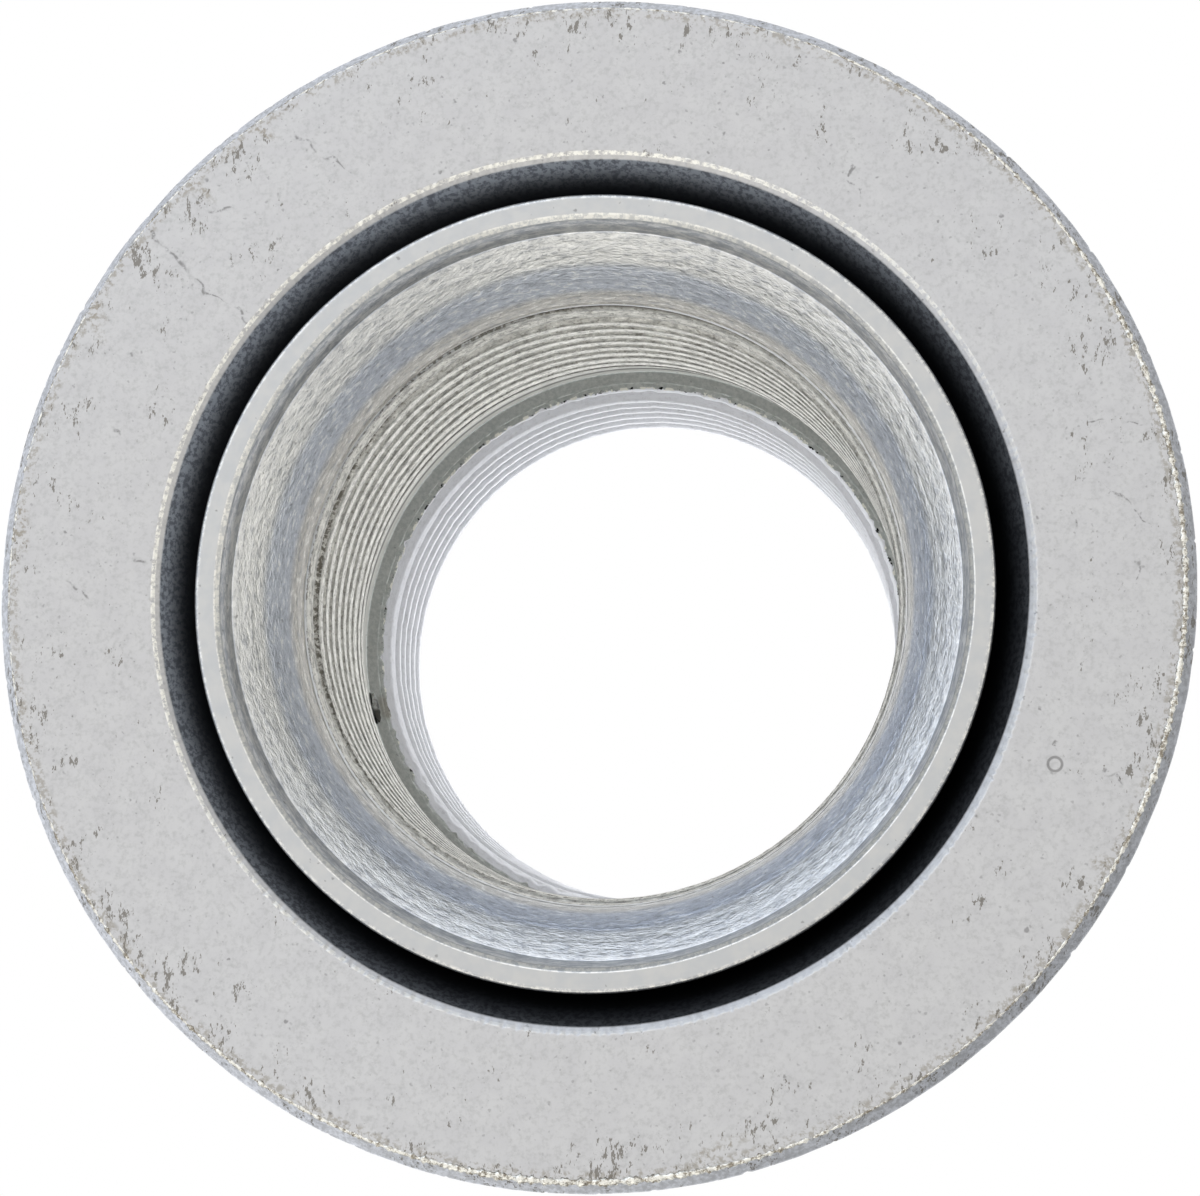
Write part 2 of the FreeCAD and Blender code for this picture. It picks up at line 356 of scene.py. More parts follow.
washer_rows, washer_edge = rounded(turned(washer_section, angle), washer_cuts)
washer_ring = grid_piece("washer_ring", washer_rows, "washer", "washer_plating", edge=washer_edge)
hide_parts("captive_washer")

# %% [markdown]
# ## The nut
# One turned shell: six flats outside, the neck and the swaged lip above, the lead-in, the
# bell and the bore inside, and a relief groove half way down. The hexagon could be a
# boolean cut; here the outer radius is a function of the angle, r = flat / cos(a - flat's
# own angle), and its corner chamfers are the cone that the same radius meets.

# %% Nut
NUT_COLUMNS = 576
BELL_STEPS = 48
RIPPLE, RIPPLE_PERIOD = 0.012, math.radians(8.0)
nut_angle = np.arange(NUT_COLUMNS) * 2 * math.pi / NUT_COLUMNS
from_flat = (nut_angle % (math.pi / 3)) - math.pi / 6
hexagon = FLAT_R / np.cos(from_flat)
hexagon = np.minimum(hexagon, FLAT_R / math.cos(math.pi / 6) - 0.12)
chamfer_height = (hexagon - FACE_R) * HEX_SLOPE

bell_top = math.atan2(CREASE_Z - BELL_FOOT, CREASE_R - WALL_R - BELL_R)
bell_angle = np.linspace(bell_top, math.pi, BELL_STEPS + 1)
# Turning marks: the bell's radius waves a little, and the wave dies out towards its foot
along_bell = (bell_angle - bell_top) / (math.pi - bell_top)
bell_wave = np.sin(2 * math.pi * (bell_angle - bell_top) / RIPPLE_PERIOD)
bell_radii = BELL_R + RIPPLE * bell_wave * (1 - along_bell)
bell_section = [
    (WALL_R + BELL_R + r * math.cos(b), BELL_FOOT + r * math.sin(b))
    for r, b in zip(bell_radii, bell_angle)
]
# The tool left a fine V at the crease
crease_line = [(CREASE_R + 0.04, CREASE_Z + 0.13), (CREASE_R + 0.13, CREASE_Z + 0.02)]
nut_section = [
    (EXIT_R, 0.0),
    (FACE_R, 0.0),
    (hexagon, chamfer_height),
    (hexagon, HEX_TOP - chamfer_height),
    (FACE_R, HEX_TOP),
    (NECK_R, HEX_TOP),
    (NECK_R, LIP_FOOT - (LIP_R - NECK_R)),
    (LIP_R, LIP_FOOT),
    (LIP_R, LIP_END),
    (MOUTH_R + MOUTH_CHAMFER, LIP_END),
    (MOUTH_R, LIP_END - MOUTH_CHAMFER),
    *crease_line,
    *bell_section,
    (WALL_R, GROOVE_TOP),
    (GROOVE_R, GROOVE_TOP - GROOVE_R + WALL_R),
    (GROOVE_R, GROOVE_FOOT + GROOVE_R - WALL_R),
    (WALL_R, GROOVE_FOOT),
    (WALL_R, EXIT_Z),
]
nut_cuts = [0.1, 0.12, 0.15, 0.15, 0.12, 0.2, 0.2, 0.15, 0.22, 0.06, 0.05]
nut_cuts += [0.0] * (len(crease_line) + len(bell_section)) + [0.05, 0.08, 0.08, 0.05, 0.1]
nut_rows, nut_edge = rounded(turned(nut_section, nut_angle), nut_cuts)
nut_shell = grid_piece("nut_shell", nut_rows, "nut", "nut_plating", edge=nut_edge)
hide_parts("nut_body")

# %% [markdown]
# ## The thread
# Two stretches of M32 x 1.5, one above and one below the groove. A ridge is one section
# carried along a helix: flanks at sixty degrees, a flat crest an eighth of the pitch each
# side of its middle. A cutter line says how far out the bore is opened at each height, at
# the bell, the groove and the exit, and the ridge is cut back to it, so the first turns
# are low and broad. Its radii in the upper stretch were chosen by the look of the turns,
# because no single radius could be measured there.

# %% Thread
STEPS_A_TURN = 300
HALF_CREST = PITCH / 8
FLANK = math.tan(math.radians(30.0))
RIDGE_BACK = WALL_R + 0.06
OPENED = [
    (0.0, EXIT_R), (1.58, CREST_R), (9.4, CREST_R), (10.75, 15.7), (GROOVE_FOOT, RIDGE_BACK),
    (GROOVE_TOP, RIDGE_BACK), (15.6, 15.92), (18.0, 15.72), (22.0, 15.6), (27.8, 15.52), (30.05, WALL_R),
]


def opened_to(height):
    """The smallest radius left standing at a height, by straight lines through OPENED."""
    heights, radii = zip(*OPENED)
    return np.interp(height, heights, radii)


def thread_ridge(name, bottom, top, seed):
    """The right-handed ridge between two heights: its middle is at z = pitch * a / 2 pi. What
    would pass either height is laid level with it, behind the wall, so nothing hangs free."""
    flank_foot = HALF_CREST + (RIDGE_BACK - CREST_R) * FLANK
    first, last = bottom - flank_foot + 0.03, top + flank_foot - 0.03
    middle = np.linspace(first, last, int((last - first) / PITCH * STEPS_A_TURN))
    path = middle * 2 * math.pi / PITCH
    flank = np.linspace(1.0, 0.0, 6)[:-1] * (flank_foot - HALF_CREST) + HALF_CREST
    across = np.concatenate([-flank, np.linspace(-HALF_CREST, HALF_CREST, 7), flank[::-1]])
    radius = CREST_R + np.clip(np.abs(across) - HALF_CREST, 0.0, None) / FLANK
    radius[[5, 11]] += 0.03
    height = middle[None, :] + across[:, None]
    rough = unevenness(path[None, :], height * 0, seed, 140, 0.0, 30)
    ragged = 0.10 * unevenness(path[None, :], height * 0, seed + 1, 260, 0.0, 30)
    ragged = np.where(abs(height - GROOVE_FOOT) < 1.0, ragged, 0.0)
    worn = radius[:, None] + 0.018 * np.clip(rough, -0.5, 2.0) * (radius[:, None] < WALL_R - 0.1)
    worn = np.clip(np.maximum(worn, opened_to(height + ragged)), CREST_R, RIDGE_BACK)
    worn[[0, -1]] = RIDGE_BACK
    beyond = np.maximum(height - top, bottom - height)
    worn = np.where(beyond > 0, RIDGE_BACK + 0.04 * np.clip(beyond, 0.0, 1.0), worn)
    height = np.clip(height, bottom, top)
    points = np.stack([worn * np.cos(path), worn * np.sin(path), height], -1)
    behind, level = RIDGE_BACK + 0.1, np.clip(middle, bottom, top)
    back = np.stack([behind * np.cos(path), behind * np.sin(path), level], -1)
    points = np.concatenate([points, back[None]], 0)[::-1]
    crest = np.append(radius < CREST_R + 0.1, False)[::-1, None]
    return grid_piece(name, points, "nut", "nut_plating", closed_path=False, crest=crest)


upper_thread = thread_ridge("upper_thread", GROOVE_TOP, 30.05, 11)
lower_thread = thread_ridge("lower_thread", EXIT_Z, GROOVE_FOOT, 12)

# %% [markdown]
# ## The burr on the rim
# Turning the rim's chamfer pushed up a rope of metal along its inner edge. It shows most
# at the bottom and the right. A displaced edge loop could do it, but a bead of its own, a small
# closed section carried round the rim, keeps its slanted strands crisp.

# %% Burr
BURR_COLUMNS, BURR_ROWS, STRANDS = 3600, 9, 620
BEARINGS = [0, 25, 35, 60, 70, 200, 212, 252, 262, 278, 290, 300, 325, 340, 360]
STRENGTHS = [1.0, 1.0, 0.5, 0.4, 0.15, 0.15, 0.4, 0.6, 1.3, 1.2, 0.5, 0.25, 0.3, 1.0, 1.0]
burr_angle = np.arange(BURR_COLUMNS)[None, :] * 2 * math.pi / BURR_COLUMNS
around = np.arange(BURR_ROWS)[:, None] * 2 * math.pi / BURR_ROWS
# Bead radius = size * (1 + 0.3 cos(strands a + 2 t + drift)), with t round its section
strength = np.interp(np.degrees(burr_angle), BEARINGS, STRENGTHS)
patchy = 1.0 + 0.22 * unevenness(burr_angle, 0.0, 21, 420, 0.0, 40)
drift = 1.6 * unevenness(burr_angle, 0.0, 22, 90, 0.0)
bead = (0.035 + 0.115 * strength) * np.clip(patchy, 0.4, 1.6)
bead = bead * (1.0 + 0.16 * np.cos(STRANDS * burr_angle + 2 * around + drift))
out_to = RIM_R - RIM_CHAMFER + bead * np.cos(around)
burr_points = np.stack([RIM_X + out_to * np.cos(burr_angle), RIM_Y + out_to * np.sin(burr_angle),
                        SEAT - 0.04 + 0.6 * bead * np.sin(around)], -1)
rim_burr = grid_piece("rim_burr", burr_points, "washer", "washer_plating")

# %% [markdown]
# ## The chip in the groove
# At the picture's left a torn chip lies along the corner of the groove's lower side. It
# could be sculpted; a thin oval section carried along the corner is enough, widest at
# its middle, with one layer that says how far along a point is.

# %% Chip
CHIP_FROM, CHIP_TO = math.radians(190.4), math.radians(196.7)
CHIP_R, CHIP_Z, CHIP_HALF = 16.39, 11.55, 0.25
along = np.linspace(0.0, 1.0, 49)[None, :]
section_turn = np.linspace(0.0, 2 * math.pi, 25)[:-1][:, None]
# Half width = h sqrt(sin pi s), and the oval leans with the side, at 45 degrees
half = CHIP_HALF * np.sqrt(np.sin(math.pi * np.clip(along, 0.01, 0.99))) * (1 + 0.08 * np.cos(29 * along))
outward = half * np.cos(section_turn) * math.sqrt(0.5)
raised = 0.045 * np.sin(section_turn) * math.sqrt(0.5)
chip_r = CHIP_R + outward - raised
chip_z = CHIP_Z + outward + raised
chip_bearing = CHIP_FROM + (CHIP_TO - CHIP_FROM) * along
chip_points = np.stack([chip_r * np.cos(chip_bearing), chip_r * np.sin(chip_bearing), chip_z], -1)
groove_chip = grid_piece("groove_chip", chip_points, "nut", "nut_plating", closed_path=False, along=along)

# %% [markdown]
# ## Finishes
# Zinc plating is a satin metal with a fine grain. What makes it look used is small: dark
# specks, hairlines, scuffs along the rim. Each of those is a node group that puts out one
# mask, so every finish can place it with its own values.

# %% Node helpers
def new_group(name, inputs, outputs):
    """An empty shader group. inputs maps names to defaults, and a tuple makes a vector
    socket; outputs maps names to socket types."""
    group = bpy.data.node_groups.new(name, "ShaderNodeTree")
    for title, default in inputs.items():
        kind = "NodeSocketVector" if isinstance(default, tuple) else "NodeSocketFloat"
        socket = group.interface.new_socket(name=title, in_out="INPUT", socket_type=kind)
        socket.default_value = default
    for title, kind in outputs.items():
        group.interface.new_socket(name=title, in_out="OUTPUT", socket_type=kind)
    return group, group.nodes.new("NodeGroupInput"), group.nodes.new("NodeGroupOutput")


def feed(tree, socket, value):
    """Links a socket, or sets a plain number on it."""
    if isinstance(value, bpy.types.NodeSocket):
        tree.links.new(value, socket)
    elif value is not None:
        socket.default_value = value


def maths(tree, operation, a, b=None, c=None, clamp=False):
    """One Math node; its inputs are sockets or numbers."""
    node = tree.nodes.new("ShaderNodeMath")
    node.operation = operation
    node.use_clamp = clamp
    for socket, value in zip(node.inputs, (a, b, c)):
        feed(tree, socket, value)
    return node.outputs[0]


def vector_maths(tree, operation, a, b=None, scale=None):
    """One Vector Math node, which gives one number for Dot Product and Length."""
    node = tree.nodes.new("ShaderNodeVectorMath")
    node.operation = operation
    feed(tree, node.inputs[0], a)
    feed(tree, node.inputs[1], b)
    if scale is not None:
        feed(tree, node.inputs["Scale"], scale)
    return node.outputs["Value" if operation in ("DOT_PRODUCT", "LENGTH") else "Vector"]


def smooth(tree, value, low, high, out_low=0.0, out_high=1.0):
    """A smooth step from low to high."""
    node = tree.nodes.new("ShaderNodeMapRange")
    node.interpolation_type = "SMOOTHSTEP"
    for title, number in zip(("Value", "From Min", "From Max", "To Min", "To Max"),
                             (value, low, high, out_low, out_high)):
        feed(tree, node.inputs[title], number)
    return node.outputs[0]


def noise(tree, vector, size, detail=2.0, roughness=0.5):
    """Noise with features about size mm wide, from 0 to 1."""
    node = tree.nodes.new("ShaderNodeTexNoise")
    feed(tree, node.inputs["Vector"], vector)
    feed(tree, node.inputs["Scale"], size if isinstance(size, bpy.types.NodeSocket) else 1.0 / size)
    node.inputs["Detail"].default_value = detail
    node.inputs["Roughness"].default_value = roughness
    return node.outputs["Fac"]


def place(tree, group, **values):
    """Puts a group in a tree and feeds its inputs; an underscore stands for a space."""
    node = tree.nodes.new("ShaderNodeGroup")
    node.node_tree = group
    for title, value in values.items():
        feed(tree, node.inputs[title.replace("_", " ")], value)
    return node.outputs


# %% Where a point is
group, start, end = new_group(
    "round_place", {},
    {"Place": "NodeSocketVector", "Radius": "NodeSocketFloat", "Height": "NodeSocketFloat",
     "Round": "NodeSocketVector"})
here = group.nodes.new("ShaderNodeTexCoord").outputs["Object"]
in_mm = vector_maths(group, "SCALE", here, scale=1.0 / MM)
parts = group.nodes.new("ShaderNodeSeparateXYZ")
group.links.new(in_mm, parts.inputs[0])
flat = group.nodes.new("ShaderNodeCombineXYZ")
group.links.new(parts.outputs["X"], flat.inputs["X"])
group.links.new(parts.outputs["Y"], flat.inputs["Y"])
radius = vector_maths(group, "LENGTH", flat.outputs[0])
# Round: the direction about the axis, with radius plus height as its third number
direction = vector_maths(group, "NORMALIZE", flat.outputs[0])
split = group.nodes.new("ShaderNodeSeparateXYZ")
group.links.new(direction, split.inputs[0])
again = group.nodes.new("ShaderNodeCombineXYZ")
group.links.new(maths(group, "MULTIPLY", split.outputs["X"], 20.0), again.inputs["X"])
group.links.new(maths(group, "MULTIPLY", split.outputs["Y"], 20.0), again.inputs["Y"])
group.links.new(maths(group, "ADD", radius, parts.outputs["Z"]), again.inputs["Z"])
for title, socket in (("Place", in_mm), ("Radius", radius), ("Height", parts.outputs["Z"]),
                      ("Round", again.outputs[0])):
    group.links.new(socket, end.inputs[title])
round_place = group
print("group", group.name)

# %% Specks
group, start, end = new_group(
    "specks", {"Place": (0.0, 0.0, 0.0), "Cells per mm": 2.0, "Share": 0.3, "Radius": 0.2},
    {"Mask": "NodeSocketFloat"})
cells = group.nodes.new("ShaderNodeTexVoronoi")
ragged = group.nodes.new("ShaderNodeTexNoise")
ragged.inputs["Scale"].default_value = 6.0
ragged.inputs["Detail"].default_value = 0.0
group.links.new(start.outputs["Place"], ragged.inputs["Vector"])
shift = vector_maths(group, "SCALE", ragged.outputs["Color"], scale=0.16)
group.links.new(vector_maths(group, "ADD", start.outputs["Place"], shift), cells.inputs["Vector"])
group.links.new(start.outputs["Cells per mm"], cells.inputs["Scale"])
pick = group.nodes.new("ShaderNodeSeparateXYZ")
group.links.new(cells.outputs["Color"], pick.inputs[0])
chosen = maths(group, "LESS_THAN", pick.outputs["X"], start.outputs["Share"])
reach = maths(group, "MULTIPLY", start.outputs["Radius"], maths(group, "ADD", pick.outputs["Y"], 0.35))
inner = maths(group, "MULTIPLY", reach, 0.4)
dot = smooth(group, cells.outputs["Distance"], inner, reach, 1.0, 0.0)
group.links.new(maths(group, "MULTIPLY", dot, chosen), end.inputs["Mask"])
specks = group
print("group", group.name)

# %% A hand's wobble
# Scratches are never straight, so the place that they are drawn on is bent first
group, start, end = new_group("wobble", {"Place": (0.0, 0.0, 0.0)}, {"Bent": "NodeSocketVector"})
waves = group.nodes.new("ShaderNodeTexNoise")
waves.inputs["Scale"].default_value = 1.4
waves.inputs["Detail"].default_value = 0.0
group.links.new(start.outputs["Place"], waves.inputs["Vector"])
about_zero = vector_maths(group, "SUBTRACT", waves.outputs["Color"], (0.5, 0.5, 0.5))
bend = vector_maths(group, "SCALE", about_zero, scale=0.8)
bent = vector_maths(group, "ADD", start.outputs["Place"], bend)
group.links.new(vector_maths(group, "MULTIPLY", bent, (1.0, 1.0, 0.0)), end.inputs["Bent"])
wobble = group
print("group", group.name)

# %% Hairline
group, start, end = new_group(
    "hairline", {"Place": (0.0, 0.0, 0.0), "From": (0.0, 0.0, 0.0), "To": (1.0, 0.0, 0.0), "Width": 0.1},
    {"Mask": "NodeSocketFloat"})
# The distance to a segment is |p - a - h (b - a)|, with h from 0 to 1 along it
to_point = vector_maths(group, "SUBTRACT", start.outputs["Place"], start.outputs["From"])
whole = vector_maths(group, "SUBTRACT", start.outputs["To"], start.outputs["From"])
share = maths(group, "DIVIDE", vector_maths(group, "DOT_PRODUCT", to_point, whole),
              vector_maths(group, "DOT_PRODUCT", whole, whole), clamp=True)
nearest = vector_maths(group, "SCALE", whole, scale=share)
away = vector_maths(group, "LENGTH", vector_maths(group, "SUBTRACT", to_point, nearest))
inner = maths(group, "MULTIPLY", start.outputs["Width"], 0.3)
group.links.new(smooth(group, away, inner, start.outputs["Width"], 1.0, 0.0), end.inputs["Mask"])
hairline = group
print("group", group.name)

# %% [markdown]
# ### Plating on the washer
# The face is nearly one tone, so its interest is in the marks: specks everywhere, brown
# scuffs that thicken towards the rim, and a few hairlines where the photograph has them.

# %% Plating
SOOT = (0.09, 0.085, 0.08, 1.0)
BROWN = (0.30, 0.27, 0.22, 1.0)
BLACK = (0.012, 0.012, 0.012, 1.0)
WHITE = (1.0, 1.0, 1.0, 1.0)


def colour_mix(tree, share, a, b):
    """Blends two colours by a mask."""
    node = tree.nodes.new("ShaderNodeMix")
    node.data_type = "RGBA"
    for socket, value in ((node.inputs[0], share), (node.inputs[6], a), (node.inputs[7], b)):
        feed(tree, socket, value)
    return node.outputs[2]


def bump(tree, height, distance, strength=1.0):
    """Tilts the normal as a surface of that height in metres would. Blender works the
    height out three times, so a mask goes into strength and not into height."""
    node = tree.nodes.new("ShaderNodeBump")
    feed(tree, node.inputs["Strength"], strength)
    node.inputs["Distance"].default_value = distance
    feed(tree, node.inputs["Height"], height)
    return node.outputs[0]


def metal(name):
    """A material with a Principled shader; returns it with its tree and shader."""
    material = bpy.data.materials.new(name)
    nodes, links = node_tree(material)
    out = nodes.new("ShaderNodeOutputMaterial")
    shader = nodes.new("ShaderNodeBsdfPrincipled")
    shader.inputs["Metallic"].default_value = 1.0
    links.new(shader.outputs[0], out.inputs["Surface"])
    return material, material.node_tree, shader


# Scratches: from, to, half width in mm
HAIRLINES = [
    ((-15.53, 23.87), (-14.06, 22.63), 0.10), ((-14.06, 22.63), (-12.45, 21.61), 0.08),
    ((-23.19, 18.77), (-22.52, 18.05), 0.16), ((-22.52, 18.05), (-20.75, 16.34), 0.14),
    ((-20.75, 16.34), (-18.72, 14.59), 0.08), ((-18.72, 14.59), (-17.58, 13.71), 0.10),
    ((13.06, 21.65), (13.80, 19.54), 0.09), ((-24.62, 8.10), (-24.29, 7.78), 0.12),
    ((-27.13, 2.90), (-26.58, 2.37), 0.10), ((-23.03, 1.04), (-22.51, 1.19), 0.12),
    ((23.01, -7.81), (23.19, -8.54), 0.09), ((25.49, -9.5), (26.28, -10.13), 0.09),
    ((24.48, 7.69), (25.68, 7.57), 0.08), ((26.65, 7.6), (27.61, 7.39), 0.08),
    ((25.68, 4.63), (26.9, 3.37), 0.09), ((26.9, 3.37), (27.98, 2.76), 0.08),
    ((27.13, 1.05), (27.05, -0.67), 0.08), ((24.2, 2.81), (24.33, 2.27), 0.09),
    ((-19.73, 19.74), (-18.77, 19.71), 0.08), ((-26.65, 0.14), (-25.45, -0.7), 0.08),
    ((-28.37, 9.54), (-28.48, 8.17), 0.13), ((22.81, -9.40), (23.15, -9.36), 0.14),
]
# Stains: the same, brown and soft
STAINS = [
    ((-21.02, 21.29), (-19.76, 20.44), 0.45), ((-17.41, 24.31), (-16.64, 23.63), 0.40),
    ((-26.13, 15.46), (-25.45, 12.99), 0.50), ((-29.44, 4.45), (-29.22, 1.78), 0.45),
    ((5.39, -28.15), (8.18, -26.92), 0.40), ((24.95, -13.81), (25.25, -13.81), 0.55),
]
RING_MARK, RING_MARK_R = (22.99, -9.12, 0.0), 0.335
# In the groove, with their heights: painted shadow for the black line behind the chip and the hole in it,
# then a stain
CHIP_SHADOWS = [((-16.33, -3.01, 11.66), (-15.87, -4.76, 11.62), 0.13),
              ((-15.98, -3.42, 11.40), (-15.88, -3.80, 11.40), 0.17)]
FOOT_STAIN = ((-15.57, -3.44, 11.04), (-15.37, -4.05, 11.04), 0.6)


def within(tree, socket, low, high, soft):
    """1 between low and high, falling to 0 over soft mm on each side."""
    return maths(tree, "MULTIPLY", smooth(tree, socket, low - soft, low),
                 smooth(tree, socket, high + soft, high))


def drawn(tree, place_socket, lines):
    """Several scratches as one mask. A Mapping node turns each into a unit circle, whose
    distance from the middle is |(x / half length, y / width)|, and the least one counts."""
    least = 9.0
    for a, b, width in lines:
        scratch = tree.nodes.new("ShaderNodeMapping")
        scratch.vector_type = "TEXTURE"
        feed(tree, scratch.inputs["Vector"], place_socket)
        length = math.dist(a, b)
        scratch.inputs["Location"].default_value = ((a[0] + b[0]) / 2, (a[1] + b[1]) / 2, 0.0)
        scratch.inputs["Rotation"].default_value = (0.0, 0.0, math.atan2(b[1] - a[1], b[0] - a[0]))
        scratch.inputs["Scale"].default_value = (0.55 * length + width, 1.15 * width, 1.0)
        least = maths(tree, "MINIMUM", least, vector_maths(tree, "LENGTH", scratch.outputs[0]))
    return smooth(tree, least, 0.3, 1.0, 1.0, 0.0)


def segment(tree, place_socket, a, b, width):
    """One hairline between two points, as a mask."""
    return place(tree, hairline, Place=place_socket, From=a, To=b, Width=width)["Mask"]


def chip_shadow(tree, place_socket):
    """Painted shadow: the black line behind the chip and the hole in it, as one mask."""
    behind, hole = [segment(tree, place_socket, *mark) for mark in CHIP_SHADOWS]
    return maths(tree, "MAXIMUM", behind, hole)


print(len(HAIRLINES), "scratches and", len(STAINS), "stains")

# %% The washer's ground tone


washer_zinc, tree, shader = metal("washer_zinc")
spot = place(tree, round_place)
tone = noise(tree, spot["Place"], 1.4, 2.0, 0.6)
grain = noise(tree, spot["Place"], 0.08, 1.0, 0.6)
crumbs = noise(tree, spot["Place"], 0.28, 3.0, 0.7)
base = colour_mix(tree, smooth(tree, tone, 0.3, 0.7), (0.53, 0.525, 0.525, 1.0), (0.565, 0.56, 0.555, 1.0))
base = colour_mix(tree, smooth(tree, crumbs, 0.42, 0.78, 0.0, 0.50), base, (0.37, 0.37, 0.36, 1.0))

# How far from the rim's own centre
face_end = RIM_R - RIM_CHAMFER
level = vector_maths(tree, "MULTIPLY", spot["Place"], (1.0, 1.0, 0.0))
from_rim_centre = vector_maths(tree, "LENGTH", vector_maths(tree, "SUBTRACT", level, (RIM_X, RIM_Y, 0.0)))
near_rim = smooth(tree, from_rim_centre, 26.0, face_end)
on_chamfer = smooth(tree, from_rim_centre, face_end - 0.02, face_end + 0.08)
outward = vector_maths(tree, "NORMALIZE", level)
lower_right = vector_maths(tree, "DOT_PRODUCT", outward, (0.707, -0.707, 0.0))
# Painted light: the chamfer's brightness goes round as 1 - 0.16 x + 0.2 x y - 0.05 (x^2 - y^2)
way = tree.nodes.new("ShaderNodeSeparateXYZ")
feed(tree, way.inputs[0], outward)
way_x, way_y = way.outputs["X"], way.outputs["Y"]
chamfer_painted_light = maths(tree, "MULTIPLY_ADD", maths(tree, "MULTIPLY", way_x, way_x), -0.108, 1.054)
sideways = maths(tree, "MULTIPLY", way_x, maths(tree, "MULTIPLY_ADD", way_y, 0.195, -0.163))
chamfer_painted_light = maths(tree, "ADD", chamfer_painted_light, sideways)
mottled = colour_mix(tree, smooth(tree, crumbs, 0.36, 0.62),
                     (0.59, 0.60, 0.63, 1.0), (0.43, 0.435, 0.45, 1.0))
chamfer_tone_and_light = vector_maths(tree, "SCALE", mottled, scale=chamfer_painted_light)
# Painted shade: the face is a little darker and warmer towards the upper left
base = vector_maths(tree, "MULTIPLY", base, colour_mix(
    tree, smooth(tree, lower_right, 0.4, -0.9), WHITE, (0.955, 0.945, 0.93, 1.0)))
base = colour_mix(tree, on_chamfer, base, chamfer_tone_and_light)
grime = maths(tree, "MULTIPLY", within(tree, from_rim_centre, face_end - 0.35, face_end, 0.25),
              smooth(tree, crumbs, 0.46, 0.60, 0.0, 0.55))
base = colour_mix(tree, grime, base, BROWN)

# %% [markdown]
# Scuffs are fine crumbs of dirt. They gather where a broad noise is high, more so at the
# rim, and they are drawn out along one slant, as rubbing leaves them. A painted mask
# would do it too, but needs an image. The scratches and stains lie where the photograph
# has them, and a noise breaks them up.

# %% The washer's scuffs, specks and scratches
broad = noise(tree, spot["Place"], 2.6, 1.0, 0.5)
gathered = maths(tree, "MULTIPLY_ADD", near_rim, 0.20, broad)
slant = tree.nodes.new("ShaderNodeMapping")
feed(tree, slant.inputs["Vector"], spot["Place"])
slant.inputs["Rotation"].default_value = (0.0, 0.0, -0.75)
slant.inputs["Scale"].default_value = (1.0, 0.42, 1.0)
scratchy = noise(tree, slant.outputs[0], 0.34, 3.0, 0.85)
scuff_floor = smooth(tree, gathered, 0.46, 0.80, 0.72, 0.55)
scuff = smooth(tree, scratchy, scuff_floor, maths(tree, "ADD", scuff_floor, 0.05))
base = colour_mix(tree, maths(tree, "MULTIPLY", scuff, 0.78), base, (0.15, 0.135, 0.11, 1.0))
bent = place(tree, wobble, Place=spot["Place"])["Bent"]
broken = smooth(tree, crumbs, 0.36, 0.58)
stained = maths(tree, "MULTIPLY", drawn(tree, bent, STAINS), smooth(tree, crumbs, 0.42, 0.62))
base = colour_mix(tree, maths(tree, "MULTIPLY", stained, 0.7), base, BROWN)
small = place(tree, specks, Place=spot["Place"], Cells_per_mm=3.4, Share=0.34, Radius=0.26)["Mask"]
large = place(tree, specks, Place=spot["Place"], Cells_per_mm=1.3, Share=0.20, Radius=0.15)["Mask"]
marks = maths(tree, "MAXIMUM", maths(tree, "MULTIPLY", small, 0.30), maths(tree, "MULTIPLY", large, 0.5))
lines = maths(tree, "MULTIPLY", drawn(tree, bent, HAIRLINES), broken)
from_ring = vector_maths(tree, "LENGTH", vector_maths(tree, "SUBTRACT", level, RING_MARK))
ring = within(tree, from_ring, RING_MARK_R - 0.035, RING_MARK_R + 0.035, 0.06)
lines = maths(tree, "MAXIMUM", lines, ring)
marks = maths(tree, "MAXIMUM", marks, maths(tree, "MULTIPLY", lines, 0.55))
base = colour_mix(tree, marks, base, SOOT)
print("washer marks:", len(tree.nodes), "nodes so far")

# %% [markdown]
# The hole's wall has painted shade: blue-grey at its mouth, nearly black at the throat,
# mottled, and lighter at the upper left. Height and radius pick it out, so it needs no
# material of its own. Its edge has a ragged painted highlight, strongest at the upper left.

# %% The washer's hole
in_hole = maths(tree, "MULTIPLY", smooth(tree, spot["Radius"], HOLE_R + 0.6, HOLE_R + 0.3),
                smooth(tree, spot["Height"], SEAT - 0.20, SEAT - 0.32))
# Painted shade on the wall: darker with depth down the hole, and darker at the lower right than at the
# upper left
depth = smooth(tree, spot["Height"], 36.6, 33.0)
hole_shade = colour_mix(tree, depth, (0.26, 0.28, 0.31, 1.0), (0.015, 0.016, 0.02, 1.0))
hole_shade = colour_mix(tree, smooth(tree, crumbs, 0.42, 0.60, 0.0, 0.75), hole_shade, (0.07, 0.075, 0.09, 1.0))
hole_shade = vector_maths(tree, "SCALE", hole_shade, scale=smooth(tree, lower_right, 1.0, -0.8, 0.35, 1.75))
base = colour_mix(tree, in_hole, base, hole_shade)
